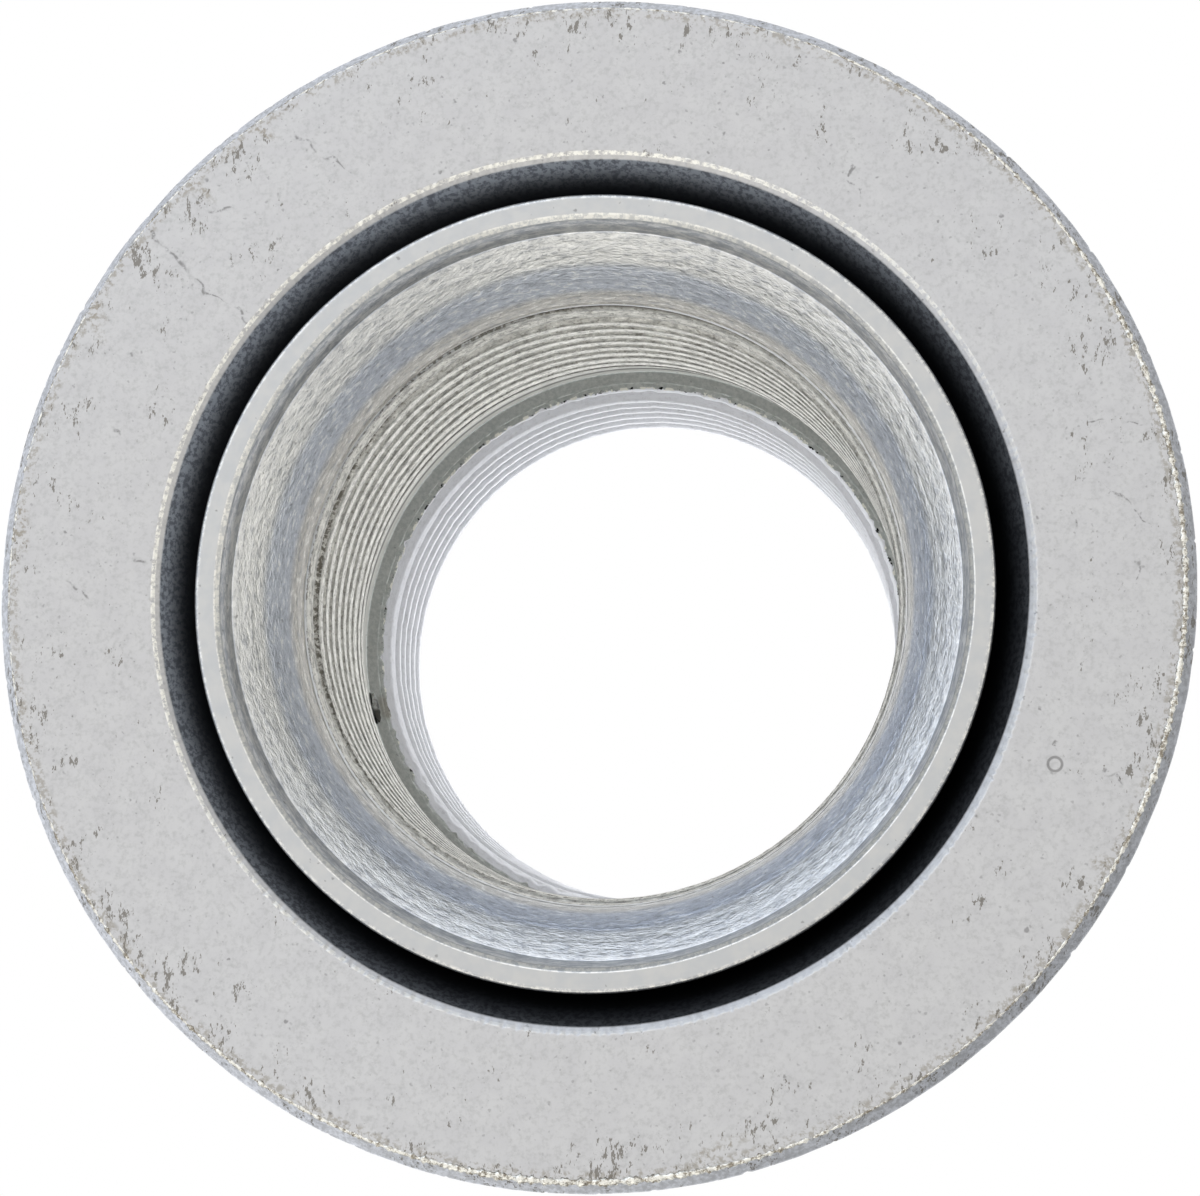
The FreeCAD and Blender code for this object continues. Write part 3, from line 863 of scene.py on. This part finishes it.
# A ragged painted highlight along the hole's edge, strongest at the upper left
on_edge = maths(tree, "MULTIPLY", within(tree, spot["Radius"], HOLE_R + 0.10, HOLE_R + 0.25, 0.05),
                smooth(tree, spot["Height"], SEAT - 0.32, SEAT - 0.20))
upper_left = maths(tree, "MULTIPLY", lower_right, -1.0)
edge_highlight = maths(tree, "MULTIPLY", smooth(tree, upper_left, -0.9, 0.6, 0.25, 1.0),
            smooth(tree, crumbs, 0.38, 0.58))
base = colour_mix(tree, maths(tree, "MULTIPLY", on_edge, edge_highlight), base, (0.86, 0.84, 0.77, 1.0))
feed(tree, shader.inputs["Base Color"], base)
feed(tree, shader.inputs["Roughness"], maths(tree, "MULTIPLY_ADD", tone, 0.10, 0.42))
feed(tree, shader.inputs["Normal"], bump(tree, grain, 0.004 * MM))
washer_ring.data.materials.append(washer_zinc)
print("material", washer_zinc.name, "with", len(tree.nodes), "nodes")

# %% [markdown]
# ### Plating on the nut
# The same zinc, but inside the bell the tool left a coarse satin. Radius and height tell
# one stretch of the bore from another, so a single material covers the lead-in, the bell,
# the threads and the groove, and each stretch is laid over the one before by its mask.

# %% The nut's ground tone
nut_zinc, tree, shader = metal("nut_zinc")
spot = place(tree, round_place)
radius, height = spot["Radius"], spot["Height"]
tone = noise(tree, spot["Place"], 0.9, 2.0, 0.6)
crumbs = noise(tree, spot["Place"], 0.28, 3.0, 0.7)
satin = noise(tree, vector_maths(tree, "MULTIPLY", spot["Round"], (1.2, 1.2, 3.2)), 1.0, 3.0, 0.75)
base = colour_mix(tree, smooth(tree, tone, 0.3, 0.7), (0.51, 0.52, 0.525, 1.0), (0.56, 0.56, 0.55, 1.0))
print("nut plating:", len(tree.nodes), "nodes so far")

# %% Lead-in and bell
# Above the crease a rough step, then the bell from bright satin to smooth blue-grey
lead_in = maths(tree, "MULTIPLY", within(tree, radius, CREASE_R, MOUTH_R, 0.04),
                within(tree, height, CREASE_Z, LIP_END - MOUTH_CHAMFER, 0.04))
lead_tone = colour_mix(tree, smooth(tree, satin, 0.36, 0.62),
                       (0.82, 0.82, 0.81, 1.0), (0.50, 0.52, 0.55, 1.0))
base = colour_mix(tree, lead_in, base, lead_tone)
in_bell = maths(tree, "MULTIPLY", within(tree, height, BELL_FOOT, CREASE_Z, 0.06),
                within(tree, radius, 15.98, CREASE_R, 0.02))
zone = colour_mix(tree, smooth(tree, radius, 17.5, 17.1),
                  (0.66, 0.655, 0.63, 1.0), (0.53, 0.555, 0.60, 1.0))
zone = colour_mix(tree, smooth(tree, radius, 16.45, 16.2), zone, (0.50, 0.48, 0.44, 1.0))
zone = colour_mix(tree, smooth(tree, satin, 0.50, 0.66, 0.0, 0.55), zone, (0.27, 0.28, 0.30, 1.0))
zone = colour_mix(tree, smooth(tree, satin, 0.47, 0.34, 0.0, 0.55), zone, (0.90, 0.89, 0.84, 1.0))
# Painted reflection: the bell is tinted bluer on its lower side, where it mirrors the cool light across
# the bore
outward = vector_maths(tree, "NORMALIZE", vector_maths(tree, "MULTIPLY", spot["Place"], (1.0, 1.0, 0.0)))
downward = vector_maths(tree, "DOT_PRODUCT", outward, (0.40, -0.92, 0.0))
cool_reflection = colour_mix(tree, smooth(tree, downward, -0.2, 0.9), WHITE, (0.97, 1.0, 1.06, 1.0))
base = colour_mix(tree, in_bell, base, vector_maths(tree, "MULTIPLY", zone, cool_reflection))
print("bell:", len(tree.nodes), "nodes so far")

# %% Threads
# Rubbed crests over roots darkened by painted shade, rough above the groove; below it the turns are
# cleaner and painted pale and bluish
crest = tree.nodes.new("ShaderNodeAttribute")
crest.attribute_name = "crest"
in_thread = maths(tree, "MULTIPLY", smooth(tree, radius, 16.08, 16.02), smooth(tree, height, 29.62, 29.5))
# Painted shade: the roots are darker than the flanks, less so near the top
root = maths(tree, "MULTIPLY", smooth(tree, radius, 15.85, 16.0),
             smooth(tree, height, 29.6, 28.6, 0.25, 1.0))
lower = smooth(tree, height, GROOVE_FOOT + 0.2, GROOVE_FOOT - 0.2)
parts = tree.nodes.new("ShaderNodeSeparateXYZ")
feed(tree, parts.inputs[0], spot["Place"])
bearing = maths(tree, "ARCTAN2", parts.outputs["Y"], parts.outputs["X"])
# 1 on the ridge's middle and -1 on the root's, all the way up the helix
turns = maths(tree, "COSINE", maths(tree, "MULTIPLY_ADD", height, 2 * math.pi / PITCH,
                                    maths(tree, "MULTIPLY", bearing, -1.0)))
# Below the groove the turns are painted pale and bluish, as light from the open end falls on them
flank = colour_mix(tree, lower, (0.55, 0.54, 0.50, 1.0), (0.90, 0.905, 0.93, 1.0))
root_shade_and_light = colour_mix(tree, lower, (0.24, 0.235, 0.215, 1.0), (0.80, 0.805, 0.83, 1.0))
crest_wear_and_light = colour_mix(tree, lower, (0.72, 0.705, 0.65, 1.0), (0.92, 0.925, 0.945, 1.0))
turn_colour = colour_mix(tree, crest.outputs["Fac"], colour_mix(tree, root, flank, root_shade_and_light), crest_wear_and_light)
gritty = smooth(tree, lower, 0.0, 1.0, 1.0, 0.12)
turn_colour = colour_mix(tree, maths(tree, "MULTIPLY", smooth(tree, satin, 0.50, 0.63, 0.0, 0.62), gritty),
                         turn_colour, (0.24, 0.235, 0.22, 1.0))
turn_colour = colour_mix(tree, maths(tree, "MULTIPLY", smooth(tree, satin, 0.46, 0.35, 0.0, 0.6), gritty),
                         turn_colour, (0.92, 0.91, 0.85, 1.0))
turn_colour = colour_mix(tree, maths(tree, "MULTIPLY", smooth(tree, crumbs, 0.54, 0.66, 0.0, 0.6), gritty),
                         turn_colour, (0.20, 0.185, 0.15, 1.0))
# Painted shade: a dark line along the middle of each root, fainter below the groove
root_shade_line = maths(tree, "MULTIPLY", smooth(tree, turns, -0.72, -0.93),
                  smooth(tree, lower, 1.0, 0.0, 0.15, 0.85))
turn_colour = colour_mix(tree, root_shade_line, turn_colour, (0.13, 0.125, 0.11, 1.0))
base = colour_mix(tree, in_thread, base, turn_colour)
print("threads:", len(tree.nodes), "nodes so far")

# %% Groove
# A grey-green side; above it the floor keeps faint turns of the thread that runs out there, drawn as lines
# of painted shade
in_groove = maths(tree, "MULTIPLY", within(tree, height, GROOVE_FOOT - 0.3, GROOVE_FOOT + 0.65, 0.05),
                  within(tree, radius, 15.72, 17.0, 0.04))
groove_grey = colour_mix(tree, smooth(tree, crumbs, 0.35, 0.65),
                         (0.46, 0.48, 0.455, 1.0), (0.58, 0.59, 0.56, 1.0))
floor_colour = colour_mix(tree, smooth(tree, turns, 0.55, 0.95, 0.0, 0.9),
                          (0.70, 0.69, 0.65, 1.0), (0.20, 0.19, 0.175, 1.0))
on_floor = maths(tree, "MULTIPLY", within(tree, height, GROOVE_FOOT + 0.6, GROOVE_TOP + 0.1, 0.05),
                 within(tree, radius, 16.03, 17.0, 0.03))
base = colour_mix(tree, on_floor, base, floor_colour)
base = colour_mix(tree, in_groove, base, groove_grey)
foot_line = maths(tree, "MAXIMUM", within(tree, height, BELL_FOOT - 0.02, BELL_FOOT + 0.10, 0.05),
                  within(tree, height, 28.15, 28.3, 0.08))
foot_line = maths(tree, "MULTIPLY", maths(tree, "MULTIPLY", foot_line, smooth(tree, radius, 16.3, 16.2)),
                  smooth(tree, crumbs, 0.44, 0.56, 0.15, 0.9))
base = colour_mix(tree, foot_line, base, (0.12, 0.11, 0.09, 1.0))
# Along the side's torn lower edge: notches painted black as shade, and flecks painted bright as highlights
at_foot = maths(tree, "MULTIPLY", within(tree, height, GROOVE_FOOT - 0.35, GROOVE_FOOT + 0.05, 0.05),
                within(tree, radius, 15.66, 15.80, 0.04))
torn = noise(tree, spot["Place"], 0.55, 2.0, 0.75)
fleck_highlight = maths(tree, "MULTIPLY", at_foot, smooth(tree, torn, 0.46, 0.40))
notch_shade = maths(tree, "MULTIPLY", at_foot, smooth(tree, torn, 0.58, 0.62))
base = colour_mix(tree, fleck_highlight, base, (0.86, 0.85, 0.78, 1.0))
base = colour_mix(tree, notch_shade, base, BLACK)
stain = segment(tree, spot["Place"], *FOOT_STAIN)
base = colour_mix(tree, maths(tree, "MULTIPLY", stain, 0.55), base, BROWN)
base = colour_mix(tree, chip_shadow(tree, spot["Place"]), base, BLACK)
print("groove:", len(tree.nodes), "nodes so far")

# %% Specks, neck and lip
small = place(tree, specks, Place=spot["Place"], Cells_per_mm=2.6, Share=0.18, Radius=0.22)["Mask"]
speckled = maths(tree, "MULTIPLY", small, smooth(tree, lower, 0.0, 1.0, 0.45, 0.10))
base = colour_mix(tree, speckled, base, SOOT)
# The neck and the lip's outer wall stand in the gap and get painted shade, near black
painted_gap_shade = maths(tree, "MULTIPLY", smooth(tree, radius, NECK_R - 0.2, NECK_R - 0.05),
               within(tree, height, WASHER_BACK - 0.05, LIP_END - 0.2, 0.1))
base = colour_mix(tree, painted_gap_shade, base, (0.035, 0.035, 0.04, 1.0))
on_lip = smooth(tree, height, LIP_END - 0.1, LIP_END - 0.02)
base = vector_maths(tree, "MULTIPLY", base, colour_mix(tree, on_lip, WHITE, (0.94, 0.935, 0.925, 1.0)))
# A ragged painted highlight along the lip's outer edge
lip_highlight = maths(tree, "MULTIPLY", smooth(tree, radius, LIP_R - 0.30, LIP_R - 0.12),
                 smooth(tree, height, LIP_END - 0.3, LIP_END - 0.2))
base = colour_mix(tree, maths(tree, "MULTIPLY", lip_highlight, smooth(tree, crumbs, 0.44, 0.60, 0.0, 0.8)),
                  base, (0.84, 0.82, 0.76, 1.0))
# The mouth's edge gets a ragged painted highlight, as the washer's hole does
mouth_highlight = maths(tree, "MULTIPLY", within(tree, radius, MOUTH_R + 0.06, MOUTH_R + 0.26, 0.05),
                   smooth(tree, height, LIP_END - 0.3, LIP_END - 0.2))
base = colour_mix(tree, maths(tree, "MULTIPLY", mouth_highlight, smooth(tree, crumbs, 0.40, 0.58, 0.2, 0.9)),
                  base, (0.84, 0.82, 0.76, 1.0))
feed(tree, shader.inputs["Base Color"], base)
print("neck and lip:", len(tree.nodes), "nodes so far")

# %% The nut's roughness and relief
rough = maths(tree, "MULTIPLY_ADD", tone, 0.10, 0.34)
rough = maths(tree, "MULTIPLY_ADD", in_thread, 0.12, rough)
in_lower = maths(tree, "MULTIPLY", in_thread, lower)
feed(tree, shader.inputs["Roughness"], maths(tree, "MULTIPLY_ADD", in_lower, 0.22, rough))
lively = maths(tree, "MAXIMUM", in_bell, maths(tree, "MULTIPLY", in_thread, 0.7))
lively = maths(tree, "MULTIPLY", lively, smooth(tree, lower, 0.0, 1.0, 1.0, 0.25))
lively = maths(tree, "MAXIMUM", lively, 0.10)
feed(tree, shader.inputs["Normal"], bump(tree, satin, 0.12 * MM, lively))
nut_shell.data.materials.append(nut_zinc)
upper_thread.data.materials.append(nut_zinc)
lower_thread.data.materials.append(nut_zinc)
print("material", nut_zinc.name, "with", len(tree.nodes), "nodes")

# %% [markdown]
# ### The burr's finish
# Freshly torn metal is brighter and warmer than plating, with dirt caught between strands.

# %% Burr finish
burr_zinc, tree, shader = metal("burr_zinc")
spot = place(tree, round_place)
dirt = smooth(tree, noise(tree, spot["Place"], 0.30, 5.0, 0.8), 0.44, 0.60)
torn_metal = colour_mix(tree, dirt, (0.80, 0.78, 0.71, 1.0), (0.24, 0.21, 0.165, 1.0))
feed(tree, shader.inputs["Base Color"], torn_metal)
shader.inputs["Roughness"].default_value = 0.34
rim_burr.data.materials.append(burr_zinc)
print("material", burr_zinc.name, "with", len(tree.nodes), "nodes")

# %% [markdown]
# ### The chip's finish
# The chip is bare steel, pale at one end and dark at the other. Its own layer says how
# far along it a point is, which neither height nor radius could tell.

# %% Chip finish
chip_steel, tree, shader = metal("chip_steel")
spot = place(tree, round_place)
along_chip = tree.nodes.new("ShaderNodeAttribute")
along_chip.attribute_name = "along"
flecks = smooth(tree, noise(tree, spot["Place"], 0.25, 3.0, 0.7), 0.45, 0.60, 0.0, 0.5)
steel = colour_mix(tree, smooth(tree, along_chip.outputs["Fac"], 0.48, 0.62),
                   (0.46, 0.47, 0.45, 1.0), (0.07, 0.07, 0.065, 1.0))
steel = colour_mix(tree, flecks, steel, (0.12, 0.10, 0.08, 1.0))
feed(tree, shader.inputs["Base Color"], colour_mix(tree, chip_shadow(tree, spot["Place"]), steel, BLACK))
shader.inputs["Roughness"].default_value = 0.45
groove_chip.data.materials.append(chip_steel)
print("material", chip_steel.name, "with", len(tree.nodes), "nodes")
